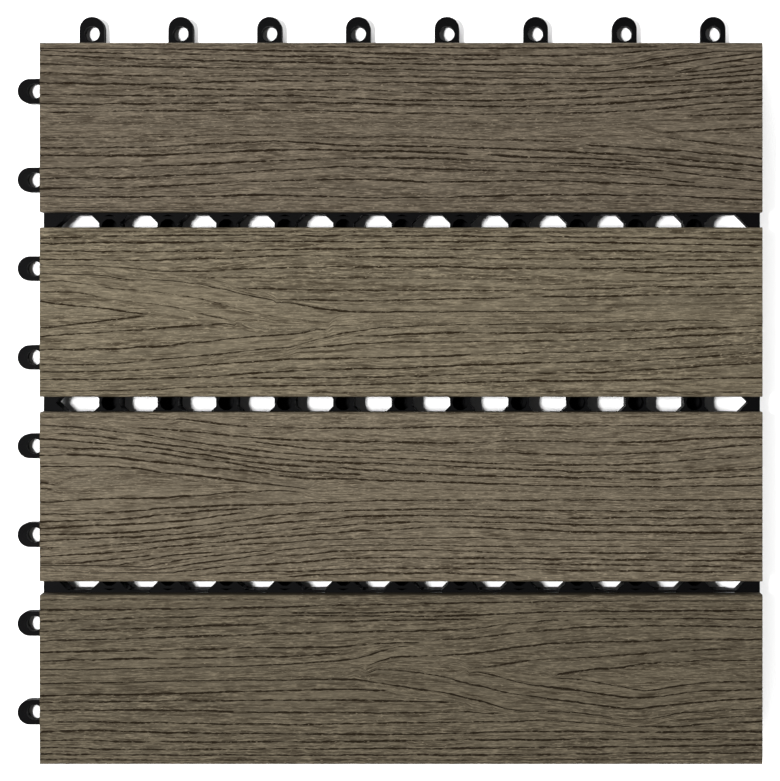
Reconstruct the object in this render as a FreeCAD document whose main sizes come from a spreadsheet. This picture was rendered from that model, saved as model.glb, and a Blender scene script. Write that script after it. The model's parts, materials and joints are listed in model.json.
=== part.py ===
import FreeCAD, Part
import Sketcher
import os
import re

# Interlocking deck tile: four wood-composite slats screwed from below to a moulded grid base.
# Millimetres. The origin is the middle of the tile on the ground, +Z is up, slats run along X,
# female loops stand out at -X and +Y, male pegs hang under the edges at +X and -Y.

SIZES = {
    "tile_side": 300.0,
    "slat_width": 70.4,
    "slat_thickness": 8.5,
    "slat_edge_chamfer": 1.0,
    "slat_inset": 0.3,
    "gap_upper": 6.3,
    "gap_middle": 6.3,
    "gap_lower": 5.5,
    "base_height": 13.5,
    "foot_drop": 2.5,
    "socket_pitch": 24.5,
    "socket_count": 11,
    "row_count": 3,
    "cells_per_row_pitch": 3,
    "socket_block": 8.6,
    "socket_bore": 6.9,
    "socket_floor": 1.6,
    "opening_width": 10.3,
    "opening_corner": 3.5,
    "end_opening_border": 4.9,
    "rib": 0.8,
    "joist": 1.6,
    "edge_wall": 3.8,
    "loop_pitch": 37.5,
    "loop_count": 8,
    "loop_width": 10.4,
    "loop_bore": 6.5,
    "loop_bore_reach": 5.5,
    "loop_end_reach": 7.45,
    "loop_lift": 0.4,
    "loop_thickness": 5.2,
    "shelf_width": 13.6,
    "shelf_clearance": 0.6,
    "shelf_end": 10.0,
    "joint_gap": 0.5,
    "peg_span": 5.9,
    "peg_arm": 2.1,
    "peg_lift": 0.8,
    "screw_span": 5,
    "screws_per_slat": 3,
    "screw_row_inner": 38.25,
    "screw_row_outer": 114.75,
    "boss_width": 9.6,
    "screw_shank": 3.6,
    "screw_head": 6.8,
    "screw_head_height": 1.7,
    "screw_length": 16.0,
    "screw_hole": 4.2,
    "pilot_play": 0.04,
    "pilot_depth": 5.6,
}

# Small round features repeat so often that they are drawn with flats, this many to a turn.
SOCKET_FLATS = 10
SCREW_FLATS = 8

doc = FreeCAD.newDocument("deck_tile")
sheet = doc.addObject("Spreadsheet::Sheet", "Sizes")
for row, (alias, value) in enumerate(SIZES.items(), start=1):
    sheet.set("A%d" % row, alias)
    sheet.set("B%d" % row, str(value))
    sheet.setAlias("B%d" % row, alias)
doc.recompute()


def worked(text):
    """A length written with the sheet's aliases, with the sheet's name put before each one."""
    return re.sub(r"[a-z_]+", lambda word: ("Sizes." if word[0] in SIZES else "") + word[0], text)


def number(text):
    return float(sheet.evalExpression(worked(text)))


def new_body(name):
    body = doc.addObject("PartDesign::Body", name)
    body.Label = name
    body.AllowCompound = True
    return body


def origin_feature(body, role):
    return next(item for item in body.Origin.OriginFeatures if item.Role == role)


def sketch_at(body, name, level):
    """An empty sketch parallel to the ground at a height."""
    sketch = body.newObject("Sketcher::SketchObject", name)
    sketch.AttachmentSupport = (origin_feature(body, "XY_Plane"), [""])
    sketch.MapMode = "FlatFace"
    sketch.setExpression(".AttachmentOffset.Base.z", worked(level))
    return sketch


def pin_point(sketch, edge, end, place):
    """Tie one end of an edge, or a circle's centre, to a place given by the sheet."""
    for kind, text in zip(("DistanceX", "DistanceY"), place):
        index = sketch.addConstraint(Sketcher.Constraint(kind, -1, 1, edge, end, number(text)))
        sketch.setExpression("Constraints[%d]" % index, worked(text))


def outline(body, name, level, corners):
    """A closed outline of straight sides through corners given by the sheet."""
    sketch = sketch_at(body, name, level)
    points = [FreeCAD.Vector(number(x), number(y), 0) for x, y in corners]
    for index, point in enumerate(points):
        sketch.addGeometry(Part.LineSegment(point, points[(index + 1) % len(points)]))
    for index, corner in enumerate(corners):
        following = (index + 1) % len(corners)
        sketch.addConstraint(Sketcher.Constraint("Coincident", index, 2, following, 1))
        pin_point(sketch, index, 1, corner)
    return sketch


def disc(body, name, level, centre, diameter):
    sketch = sketch_at(body, name, level)
    middle = FreeCAD.Vector(number(centre[0]), number(centre[1]), 0)
    circle = Part.Circle(middle, FreeCAD.Vector(0, 0, 1), number(diameter) / 2)
    sketch.addGeometry(circle)
    pin_point(sketch, 0, 3, centre)
    index = sketch.addConstraint(Sketcher.Constraint("Diameter", 0, number(diameter)))
    sketch.setExpression("Constraints[%d]" % index, worked(diameter))
    return sketch


def shifted(corners, x, y):
    return [("(%s) + (%s)" % (x, cx), "(%s) + (%s)" % (y, cy)) for cx, cy in corners]


def ring_of_flats(diameter, flats):
    """Corners of a regular figure that stands for a small circle."""
    corners = []
    for index in range(flats):
        turn = "360 deg * %d / %d" % (index, flats)
        corners.append(("%s / 2 * cos(%s)" % (diameter, turn), "%s / 2 * sin(%s)" % (diameter, turn)))
    return corners


def rectangle(x_low, x_high, y_low, y_high):
    return [(x_low, y_low), (x_high, y_low), (x_high, y_high), (x_low, y_high)]


def raised(body, name, sketch, length):
    """Material from a sketch upwards."""
    pad = body.newObject("PartDesign::Pad", name)
    pad.Profile = sketch
    pad.setExpression("Length", worked(length))
    doc.recompute()
    return pad


def cut_up(body, name, sketch, depth):
    """A cut from the sketch upwards, checked because a cut that misses shows no error."""
    before = body.Shape.Volume
    pocket = body.newObject("PartDesign::Pocket", name)
    pocket.Profile = sketch
    pocket.Reversed = True
    pocket.setExpression("Length", worked(depth))
    doc.recompute()
    if pocket.Shape.Volume >= before - 1e-6:
        raise ValueError("%s cuts nothing" % name)
    return pocket


def repeated(body, name, features, along_x=None, along_y=None):
    """Copies of features on a row or a grid; each direction is (spacing, count)."""
    pattern = body.newObject("PartDesign::LinearPattern", name)
    pattern.Originals = features
    ways = [way for way in (("X_Axis", along_x), ("Y_Axis", along_y)) if way[1]]
    for suffix, (role, (spacing, count)) in zip(("", "2"), ways):
        setattr(pattern, "Direction" + suffix, (origin_feature(body, role), [""]))
        setattr(pattern, "Mode" + suffix, "Spacing")
        pattern.setExpression("Offset" + suffix, worked(spacing))
        pattern.setExpression("Occurrences" + suffix, worked(count))
    doc.recompute()
    if len(ways) > 1:
        # A spacing of -1 follows the offset; the second direction starts with a 0 that has to go.
        pattern.Spacings2 = [-1.0] * (pattern.Occurrences2 - 1)
    body.Tip = pattern
    doc.recompute()
    return pattern


HALF = "tile_side / 2"
ROW_PITCH = "(socket_pitch * cells_per_row_pitch)"
FIRST_ROW = "-%s * (row_count - 1) / 2" % ROW_PITCH
FIRST_SOCKET = "-socket_pitch * (socket_count - 1) / 2"
LAST_SOCKET = "socket_pitch * (socket_count - 1) / 2"
RIB_DEPTH = "base_height - foot_drop"
RIB_OUTER = "(opening_width / 2 + rib)"
SHELF_LEVEL = "(loop_lift + loop_thickness + shelf_clearance)"
THROUGH = "base_height + 1"
SOCKETS_ALONG = ("socket_pitch", "socket_count")
ROWS_ACROSS = (ROW_PITCH, "row_count")
LOOPS_ALONG = ("loop_pitch", "loop_count")


def joined(kind, name, members, refine=False):
    """One Part boolean: a fusion of several solids, or the first one less the second."""
    result = doc.addObject(kind, name)
    result.Label = name
    result.Refine = refine
    if kind == "Part::Cut":
        result.Base, result.Tool = members
    else:
        result.Shapes = members
    doc.recompute()
    return result


def grouped(name, members):
    """Separate solids that stand clear of each other, held as one cutter."""
    group = doc.addObject("Part::Compound", name)
    group.Label = name
    group.Links = members
    doc.recompute()
    return group


def make_plate():
    body = new_body("plate")
    corners = rectangle("-" + HALF, HALF, "-" + HALF, HALF)
    raised(body, "plate_block", outline(body, "plate_outline", "foot_drop", corners), RIB_DEPTH)
    return body


def make_gap_openings():
    """Eight-sided openings between the sockets of each row."""
    body = new_body("gap_openings")
    long_half = "((socket_pitch - socket_block) / 2)"
    wide_half = "(opening_width / 2)"
    flat_x = "(%s - opening_corner)" % long_half
    flat_y = "(%s - opening_corner)" % wide_half
    corners = [
        (long_half, "-" + flat_y), (long_half, flat_y), (flat_x, wide_half), ("-" + flat_x, wide_half),
        ("-" + long_half, flat_y), ("-" + long_half, "-" + flat_y),
        ("-" + flat_x, "-" + wide_half), (flat_x, "-" + wide_half),
    ]
    first = shifted(corners, FIRST_SOCKET + " + socket_pitch / 2", FIRST_ROW)
    opening = raised(body, "gap_opening", outline(body, "gap_opening_outline", "0", first), THROUGH)
    repeated(body, "gap_opening_grid", [opening], ("socket_pitch", "socket_count - 1"), ROWS_ACROSS)
    return body


def make_end_openings(name, side):
    """The openings at one end of each row, which come to a point towards the edge of the tile."""
    body = new_body(name + "_end_openings")
    wide_half = "(opening_width / 2)"
    flat_y = "(%s - opening_corner)" % wide_half
    tip = "%s * (tile_side / 2 - end_opening_border)" % side
    shoulder = "%s * (tile_side / 2 - end_opening_border - %s)" % (side, wide_half)
    near = "%s * (%s + socket_block / 2)" % (side, LAST_SOCKET)
    slope = "%s * (%s + socket_block / 2 + opening_corner)" % (side, LAST_SOCKET)
    corners = [
        (tip, "0"), (shoulder, wide_half), (slope, wide_half), (near, flat_y),
        (near, "-" + flat_y), (slope, "-" + wide_half), (shoulder, "-" + wide_half),
    ]
    sketch = outline(body, name + "_end_outline", "0", shifted(corners, "0", FIRST_ROW))
    opening = raised(body, name + "_end_opening", sketch, THROUGH)
    repeated(body, name + "_end_opening_row", [opening], None, ROWS_ACROSS)
    return body


JOIST_HALF_BAY = "((socket_pitch - joist) / 2)"
FIRST_BAY = FIRST_SOCKET + " - socket_pitch / 2"
BAYS_ALONG = ("socket_pitch", "socket_count + 1")


def make_inner_openings():
    """Long openings between the joists that carry the two middle slats."""
    body = new_body("inner_openings")
    reach = "(%s / 2 - %s)" % (ROW_PITCH, RIB_OUTER)
    corners = rectangle("-" + JOIST_HALF_BAY, JOIST_HALF_BAY, "-" + reach, reach)
    placed = shifted(corners, FIRST_BAY, "%s + %s / 2" % (FIRST_ROW, ROW_PITCH))
    opening = raised(body, "inner_opening", outline(body, "inner_outline", "0", placed), THROUGH)
    repeated(body, "inner_opening_grid", [opening], BAYS_ALONG, (ROW_PITCH, "row_count - 1"))
    return body


def make_outer_openings(name, side, border):
    """Long openings under an outer slat, narrowed beside the sockets; each ends at the tile's border."""
    body = new_body(name + "_openings")
    narrow = "((socket_pitch - socket_block) / 2 - opening_corner)"
    start = "(-%s + %s)" % (FIRST_ROW, RIB_OUTER)
    bottom = "%s * %s" % (side, start)
    bend = "%s * (%s + %s - %s)" % (side, start, JOIST_HALF_BAY, narrow)
    top = "%s * (tile_side / 2 - %s)" % (side, border)
    corners = [("-" + narrow, bottom), (narrow, bottom), (JOIST_HALF_BAY, bend), (JOIST_HALF_BAY, top),
               ("-" + JOIST_HALF_BAY, top), ("-" + JOIST_HALF_BAY, bend)]
    sketch = outline(body, name + "_outline", "0", shifted(corners, FIRST_BAY, "0"))
    opening = raised(body, name + "_opening", sketch, THROUGH)
    repeated(body, name + "_opening_row", [opening], BAYS_ALONG)
    return body


def make_feet():
    """Square feet under the sockets."""
    body = new_body("feet_below_sockets")
    half = "socket_block / 2"
    corners = rectangle("-" + half, half, "-" + half, half)
    sketch = outline(body, "foot_outline", "0", shifted(corners, FIRST_SOCKET, FIRST_ROW))
    foot = raised(body, "foot", sketch, "foot_drop")
    repeated(body, "feet", [foot], SOCKETS_ALONG, ROWS_ACROSS)
    return body


def make_socket_bores():
    """The hollows of the cups, open at the top and closed by the feet."""
    body = new_body("socket_bores")
    corners = shifted(ring_of_flats("socket_bore", SOCKET_FLATS), FIRST_SOCKET, FIRST_ROW)
    sketch = outline(body, "socket_outline", "socket_floor", corners)
    socket = raised(body, "socket", sketch, "base_height - socket_floor + 1")
    repeated(body, "sockets", [socket], SOCKETS_ALONG, ROWS_ACROSS)
    return body


def make_shelf_space():
    """What is cut away below the edges at +X and -Y, so that a neighbour's loops slide under them."""
    body = new_body("shelf_space")
    inner = "(%s - shelf_width)" % HALF
    beyond = "(%s + 1)" % HALF
    stop = "(%s - shelf_end)" % HALF
    corners = [(inner, stop), (inner, "-" + inner), ("-" + stop, "-" + inner),
               ("-" + stop, "-" + beyond), (beyond, "-" + beyond), (beyond, stop)]
    raised(body, "shelf", outline(body, "shelf_outline", "0", corners), SHELF_LEVEL)
    return body


FIRST_LOOP = "-loop_pitch * (loop_count - 1) / 2"


def make_pegs():
    """Cross-shaped pegs under the shelves, one on the line of each neighbouring loop."""
    body = new_body("pegs_below_shelves")
    line = "(%s - loop_bore_reach + joint_gap)" % HALF
    wide = "(peg_span / 2)"
    thin = "(peg_arm / 2)"
    quarter = [(wide, "-" + thin), (wide, thin), (thin, thin)]
    corners = []
    for turn in range(4):
        corners += quarter
        quarter = [("-(%s)" % y, x) for x, y in quarter]
    places = {"right": (line, FIRST_LOOP), "lower": (FIRST_LOOP, "-" + line)}
    for name, (x, y) in places.items():
        sketch = outline(body, name + "_peg_outline", "peg_lift", shifted(corners, x, y))
        peg = raised(body, name + "_peg", sketch, SHELF_LEVEL + " - peg_lift")
        if name == "right":
            repeated(body, name + "_pegs", [peg], None, LOOPS_ALONG)
        else:
            repeated(body, name + "_pegs", [peg], LOOPS_ALONG)
    return body


def make_loops():
    """Round-ended loops that stand out from the edges at -X and +Y."""
    body = new_body("loops_on_edges")
    root = "(%s - edge_wall)" % HALF
    centre = "(%s + loop_end_reach)" % HALF
    bore_line = "(%s + loop_bore_reach)" % HALF
    low = FIRST_LOOP + " - loop_width / 2"
    high = FIRST_LOOP + " + loop_width / 2"
    sides = {
        "upper": (rectangle(low, high, root, centre), (FIRST_LOOP, centre), (FIRST_LOOP, bore_line)),
        "left": (rectangle("-" + centre, "-" + root, low, high),
                 ("-" + centre, FIRST_LOOP), ("-" + bore_line, FIRST_LOOP)),
    }
    for name, (arm_corners, tip, eye) in sides.items():
        arm_sketch = outline(body, name + "_arm_outline", "loop_lift", arm_corners)
        arm = raised(body, name + "_loop_arm", arm_sketch, "loop_thickness")
        end_sketch = disc(body, name + "_end_disc", "loop_lift", tip, "loop_width")
        end = raised(body, name + "_loop_end", end_sketch, "loop_thickness")
        bore_sketch = disc(body, name + "_bore_disc", "0", eye, "loop_bore")
        bore = cut_up(body, name + "_loop_bore", bore_sketch, "loop_lift + loop_thickness + 1")
        if name == "upper":
            repeated(body, name + "_loops", [arm, end, bore], LOOPS_ALONG)
        else:
            repeated(body, name + "_loops", [arm, end, bore], None, LOOPS_ALONG)
    return body


SCREW_X = "-socket_pitch * screw_span * (screws_per_slat - 1) / 2"
SCREW_ROWS = ["screw_row_outer", "screw_row_inner", "-screw_row_inner", "-screw_row_outer"]
SCREWS_ACROSS = ("socket_pitch * screw_span", "screws_per_slat")
BOSS_LINES = {"inner": "screw_row_inner", "outer": "screw_row_outer"}


def make_bosses():
    """Eight-sided bosses on the joists under the middle of each slat."""
    body = new_body("screw_bosses")
    half = "(boss_width / 2)"
    flat = "(boss_width / 2 * tan(22.5 deg))"
    corners = [(half, "-" + flat), (half, flat), (flat, half), ("-" + flat, half),
               ("-" + half, flat), ("-" + half, "-" + flat), ("-" + flat, "-" + half), (flat, "-" + half)]
    for name, line in BOSS_LINES.items():
        sketch = outline(body, name + "_boss_outline", "foot_drop", shifted(corners, SCREW_X, "-" + line))
        boss = raised(body, name + "_boss", sketch, RIB_DEPTH)
        repeated(body, name + "_bosses", [boss], SCREWS_ACROSS, ("2 * " + line, "2"))
    return body


def make_screw_holes():
    """The clearance holes that go right through the bosses."""
    body = new_body("screw_holes")
    for name, line in BOSS_LINES.items():
        corners = shifted(ring_of_flats("screw_hole", SCREW_FLATS), SCREW_X, "-" + line)
        hole = raised(body, name + "_hole", outline(body, name + "_hole_outline", "0", corners), THROUGH)
        repeated(body, name + "_holes", [hole], SCREWS_ACROSS, ("2 * " + line, "2"))
    return body


def make_base():
    """The whole moulding: lattice, feet, loops, pegs and bosses in one solid, less its bores."""
    openings = grouped("lattice_openings", [
        make_gap_openings(), make_end_openings("left", "-1"), make_end_openings("right", "1"),
        make_inner_openings(), make_outer_openings("upper", "1", "edge_wall"),
        make_outer_openings("lower", "-1", "shelf_width"),
    ])
    lattice = joined("Part::Cut", "lattice", [make_plate(), openings])
    shelved = joined("Part::Cut", "lattice_with_shelf", [lattice, make_shelf_space()])
    members = [shelved, make_feet(), make_pegs(), make_loops(), make_bosses()]
    moulding = joined("Part::MultiFuse", "moulding", members)
    bores = grouped("bores", [make_socket_bores(), make_screw_holes()])
    return joined("Part::Cut", "grid_base", [moulding, bores], refine=True)


GAPS = ["gap_upper", "gap_middle", "gap_lower"]


def slat_top_edge(index):
    """The Y of a slat's upper edge, counted down from the edge of the tile."""
    return " - ".join(["%s - slat_inset" % HALF] + ["%s - slat_width" % gap for gap in GAPS[:index]])


def make_slat(index):
    """One board with eased long edges and a blind hole over each screw."""
    body = new_body("deck_slat_%d" % (index + 1))
    top = slat_top_edge(index)
    corners = rectangle("-" + HALF, HALF, top + " - slat_width", top)
    sketch = outline(body, "slat_outline_%d" % (index + 1), "base_height", corners)
    board = raised(body, "slat_board_%d" % (index + 1), sketch, "slat_thickness")
    holes = shifted(ring_of_flats("(screw_shank + pilot_play)", SCREW_FLATS), SCREW_X, SCREW_ROWS[index])
    sketch = outline(body, "pilot_outline_%d" % (index + 1), "base_height", holes)
    pilot = cut_up(body, "pilot_%d" % (index + 1), sketch, "pilot_depth")
    drilled = repeated(body, "pilots_%d" % (index + 1), [pilot], SCREWS_ACROSS)
    level = number("base_height + slat_thickness")
    span = number("tile_side")
    edges = []
    for count, edge in enumerate(drilled.Shape.Edges, start=1):
        box = edge.BoundBox
        if box.ZMin > level - 1e-6 and box.XLength > span - 1e-6:
            edges.append("Edge%d" % count)
    eased = body.newObject("PartDesign::Chamfer", "slat_edges_%d" % (index + 1))
    eased.Base = (drilled, edges)
    eased.setExpression("Size", worked("slat_edge_chamfer"))
    body.Tip = eased
    doc.recompute()
    return body


def make_screw(slat, place):
    """A pan-head screw, head down, with its head under a boss."""
    name = "slat_%d_screw_%d" % (slat + 1, place + 1)
    body = new_body(name)
    level = "foot_drop - screw_head_height"
    sketch = outline(body, "head_outline_" + name, level, ring_of_flats("screw_head", SCREW_FLATS))
    raised(body, "head_" + name, sketch, "screw_head_height")
    sketch = outline(body, "shank_outline_" + name, "foot_drop", ring_of_flats("screw_shank", SCREW_FLATS))
    raised(body, "shank_" + name, sketch, "screw_length")
    body.setExpression(".Placement.Base.x", worked("%s + socket_pitch * screw_span * %d" % (SCREW_X, place)))
    body.setExpression(".Placement.Base.y", worked(SCREW_ROWS[slat]))
    doc.recompute()
    return body


def checked(bodies):
    """Every feature and every shape is sound before any file is written."""
    doc.recompute()
    for item in doc.Objects:
        if "Invalid" in item.State or "Error" in item.State:
            raise ValueError("%s: %s" % (item.Label, item.State))
    for body in bodies:
        if body.Shape.isNull() or not body.Shape.isValid() or len(body.Shape.Solids) != 1:
            raise ValueError("%s has no sound shape" % body.Label)
    return bodies


parts = [make_base()]
parts += [make_slat(index) for index in range(len(SCREW_ROWS))]
for slat_index in range(len(SCREW_ROWS)):
    parts += [make_screw(slat_index, place) for place in range(int(SIZES["screws_per_slat"]))]

os.makedirs("parts", exist_ok=True)
for part in checked(parts):
    part.Shape.exportStep("parts/%s.step" % part.Label)
    print(part.Label, round(part.Shape.Volume / 1000, 2), "cm3", len(part.Shape.Faces), "faces")
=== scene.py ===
import json
import math

import bpy
import numpy as np
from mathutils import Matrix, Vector

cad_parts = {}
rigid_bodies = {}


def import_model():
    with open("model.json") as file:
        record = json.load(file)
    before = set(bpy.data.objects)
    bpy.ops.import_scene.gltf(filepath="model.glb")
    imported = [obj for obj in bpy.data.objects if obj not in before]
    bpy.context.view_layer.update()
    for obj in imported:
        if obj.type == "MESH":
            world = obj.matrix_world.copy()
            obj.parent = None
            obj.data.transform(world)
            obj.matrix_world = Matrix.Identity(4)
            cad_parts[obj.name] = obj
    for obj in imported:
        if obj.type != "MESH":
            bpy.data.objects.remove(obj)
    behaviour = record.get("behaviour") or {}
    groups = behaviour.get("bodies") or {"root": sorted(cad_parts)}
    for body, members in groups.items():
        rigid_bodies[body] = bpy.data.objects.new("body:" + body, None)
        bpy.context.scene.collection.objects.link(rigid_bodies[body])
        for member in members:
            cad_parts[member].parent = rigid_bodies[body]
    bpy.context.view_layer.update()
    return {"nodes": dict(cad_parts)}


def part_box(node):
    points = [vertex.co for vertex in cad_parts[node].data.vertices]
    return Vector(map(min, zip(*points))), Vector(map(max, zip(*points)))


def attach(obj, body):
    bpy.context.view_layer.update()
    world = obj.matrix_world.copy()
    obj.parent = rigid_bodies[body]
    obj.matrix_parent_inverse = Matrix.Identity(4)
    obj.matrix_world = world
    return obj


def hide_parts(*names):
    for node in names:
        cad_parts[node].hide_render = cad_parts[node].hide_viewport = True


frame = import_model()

# An interlocking deck tile, in metres: the slats get their embossed wood grain, the moulded base its
# slits and rings, and the screws their rounded heads and recesses. The origin is the middle of the tile on
# the ground.

NODES = frame["nodes"]
MM = 0.001

SLATS = ["deck_slat_%d" % number for number in range(1, 5)]
SCREWS = sorted(name for name in NODES if "screw" in name)

# The photograph's frame and the tile's place in it, in pixels.
PHOTO_WIDTH = 780
PHOTO_HEIGHT = 781
TILE_CENTRE_PX = (401.1, 403.2)
TILE_SIDE_PX = 723.0
CAMERA_ABOVE_PX = (480.0, 320.0)
CAMERA_HEIGHT = 0.90
SENSOR_MM = 36.0


def deselect():
    bpy.ops.object.select_all(action="DESELECT")


def activate(piece):
    deselect()
    piece.select_set(True)
    bpy.context.view_layer.objects.active = piece


def settle(piece):
    """The piece's place goes into its mesh, and its object to the origin."""
    activate(piece)
    bpy.ops.object.transform_apply(location=True, rotation=True, scale=True)


class Value:
    """A shader socket that Python expressions can add to, multiply and so on."""

    def __init__(self, material, socket):
        self.material = material
        self.socket = socket

    def maths(self, operation, *others):
        return self.material.node("ShaderNodeMath", {"operation": operation}, [self, *others])

    def __add__(self, other):
        return self.maths("ADD", other)

    def __radd__(self, other):
        return self.maths("ADD", other)

    def __sub__(self, other):
        return self.maths("SUBTRACT", other)

    def __rsub__(self, other):
        return self.material.node("ShaderNodeMath", {"operation": "SUBTRACT"}, [other, self])

    def __mul__(self, other):
        return self.maths("MULTIPLY", other)

    def __rmul__(self, other):
        return self.maths("MULTIPLY", other)

    def clamp(self):
        return self.maths("MINIMUM", 1.0).maths("MAXIMUM", 0.0)


class Finish:
    """A material whose nodes are made from Python expressions."""

    def __init__(self, name):
        self.data = bpy.data.materials.new(name)
        self.data.use_nodes = True
        self.tree = self.data.node_tree
        self.shader = self.tree.nodes["Principled BSDF"]

    def node(self, kind, settings, inputs=(), output=0):
        made = self.tree.nodes.new(kind)
        for key, value in settings.items():
            if key == "stops":
                ramp = made.color_ramp
                while len(ramp.elements) < len(value):
                    ramp.elements.new(0.5)
                for element, (place, colour) in zip(ramp.elements, value):
                    element.position = place
                    element.color = (colour, colour, colour, 1.0)
            else:
                setattr(made, key, value)
        pairs = inputs.items() if isinstance(inputs, dict) else enumerate(inputs)
        for key, value in pairs:
            if isinstance(value, Value):
                self.tree.links.new(value.socket, made.inputs[key])
            elif value is not None:
                made.inputs[key].default_value = value
        return Value(self, made.outputs[output])

    def place(self, scale=(1.0, 1.0, 1.0), shift=(0.0, 0.0, 0.0)):
        """Object coordinates, stretched and shifted for a pattern."""
        here = self.node("ShaderNodeTexCoord", {}, output="Object")
        return self.node("ShaderNodeMapping", {}, {"Vector": here, "Scale": scale, "Location": shift})

    def noise(self, where, scale, detail=2.0, roughness=0.5):
        return self.node("ShaderNodeTexNoise", {}, {"Vector": where, "Scale": scale, "Detail": detail,
                                                    "Roughness": roughness})

    def point(self, x, y, z):
        """A place for a pattern, put together from single values."""
        return self.node("ShaderNodeCombineXYZ", {}, [x, y, z])

    def attribute(self, name):
        return self.node("ShaderNodeAttribute", {"attribute_name": name}, output="Fac")

    def ramp(self, value, stops):
        return self.node("ShaderNodeValToRGB", {"stops": stops}, [value])

    def blend(self, share, first, second):
        mixed = self.tree.nodes.new("ShaderNodeMix")
        mixed.data_type = "RGBA"
        for socket, value in ((mixed.inputs[0], share), (mixed.inputs[6], first), (mixed.inputs[7], second)):
            if isinstance(value, Value):
                self.tree.links.new(value.socket, socket)
            elif isinstance(value, tuple):
                socket.default_value = (*value, 1.0)
            else:
                socket.default_value = value
        return Value(self, mixed.outputs[2])

    def set(self, **sockets):
        for name, value in sockets.items():
            socket = self.shader.inputs[name.replace("_", " ")]
            if isinstance(value, Value):
                self.tree.links.new(value.socket, socket)
            elif isinstance(value, tuple):
                socket.default_value = (*value, 1.0)
            else:
                socket.default_value = value

    def bump(self, height, distance, strength=1.0):
        raised = self.node("ShaderNodeBump", {}, {"Strength": strength, "Distance": distance,
                                                  "Height": height})
        self.tree.links.new(raised.socket, self.shader.inputs["Normal"])


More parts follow.
